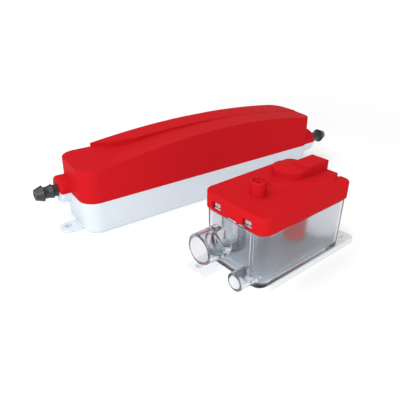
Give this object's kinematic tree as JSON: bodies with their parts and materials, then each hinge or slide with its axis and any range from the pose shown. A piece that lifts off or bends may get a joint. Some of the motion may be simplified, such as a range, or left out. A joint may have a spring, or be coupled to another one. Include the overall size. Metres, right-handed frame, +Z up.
{
  "type": "condensate pump",
  "caption": "Small condensate pump set: slim pump block with hose barbs and wall ears, and a clear float reservoir with red lid on its bracket.",
  "frame": {"origin": "middle of the pump block's base", "axes": "+X along the pump block from inlet to outlet, +Y to the wall side of the pump block, +Z up; the reservoir stands at -Y, turned 4.4 degrees"},
  "size_m": [0.2223, 0.1347, 0.0494],
  "materials": {
    "red_plastic": "injection moulded, satin gloss",
    "white_plastic": "injection moulded, fine matt",
    "black_plastic": "injection moulded",
    "clear_plastic": "injection moulded smoke clear",
    "grey_nylon": "glass filled nylon",
    "steel": "turned",
    "spring_steel": "drawn wire",
    "zinc_steel": "pressed, zinc plated",
    "brass": "drawn tube",
    "winding_tape": "polyester tape over enamelled copper",
    "black_rubber": "moulded",
    "hose_rubber": "extruded silicone",
    "foam": "open cell foam",
    "board_green": "solder mask over glass epoxy",
    "relay_blue": "moulded",
    "aluminium": "drawn can in shrink sleeve",
    "fuse_glass": "glass tube with caps",
    "sensor_black": "moulded",
    "ferrite": "sintered",
    "float_foam": "closed cell foam rubber"
  },
  "bodies": {
    "pump_block": {"upper_cover": "red_plastic", "lower_case": "white_plastic", "case_screws": "zinc_steel", "inlet_barb": "black_plastic", "outlet_barb": "black_plastic", "inlet_hose": "hose_rubber", "outlet_hose": "hose_rubber", "guide_tube": "brass", "flux_rings": "zinc_steel", "coil_bobbin": "grey_nylon", "coil_winding": "winding_tape", "yoke": "zinc_steel", "pump_tail": "grey_nylon", "pump_head": "grey_nylon", "outlet_nozzle": "grey_nylon", "inlet_bush": "black_rubber", "outlet_bush": "black_rubber", "thermal_cutout": "sensor_black", "foam_pad": "foam", "control_board": "board_green", "relay": "relay_blue", "capacitor": "aluminium", "fuse": "fuse_glass", "power_socket": "white_plastic", "sensor_socket": "white_plastic", "mounting_bracket": "white_plastic"},
    "piston": {"piston": "steel", "piston_disc_valve": "black_rubber", "front_spring": "spring_steel", "rear_spring": "spring_steel"},
    "outlet_valve": {"outlet_valve_ball": "black_rubber", "outlet_valve_spring": "spring_steel"},
    "tank": {"tank": "clear_plastic", "inlet_filter": "clear_plastic"},
    "lid": {"lid": "red_plastic", "lid_gasket": "black_rubber", "float_guide": "red_plastic", "float_retainer": "red_plastic", "sensor_board": "board_green", "hall_sensor": "sensor_black", "sensor_connector": "white_plastic"},
    "float": {"float": "float_foam", "float_magnet": "ferrite"}
  },
  "joints": [
    {"name": "piston_stroke", "type": "slide", "parent": "pump_block", "child": "piston", "axis": [1, 0, 0], "range_m": [-0.003, 0.003], "stiffness_N_per_m": 800},
    {"name": "outlet_valve_lift", "type": "slide", "parent": "pump_block", "child": "outlet_valve", "axis": [1, 0, 0], "range_m": [0, 0.001], "stiffness_N_per_m": 60, "springref_m": -0.004},
    {"name": "tank_off", "type": "slide", "parent": "pump_block", "child": "tank", "axis": [0, 0, 1], "range_m": [0, 0.02]},
    {"name": "lid_off", "type": "slide", "parent": "tank", "child": "lid", "axis": [0, 0, 1], "range_m": [0, 0.04]},
    {"name": "float_rise", "type": "slide", "parent": "lid", "child": "float", "axis": [0, 0, 1], "range_m": [0, 0.012]}
  ]
}
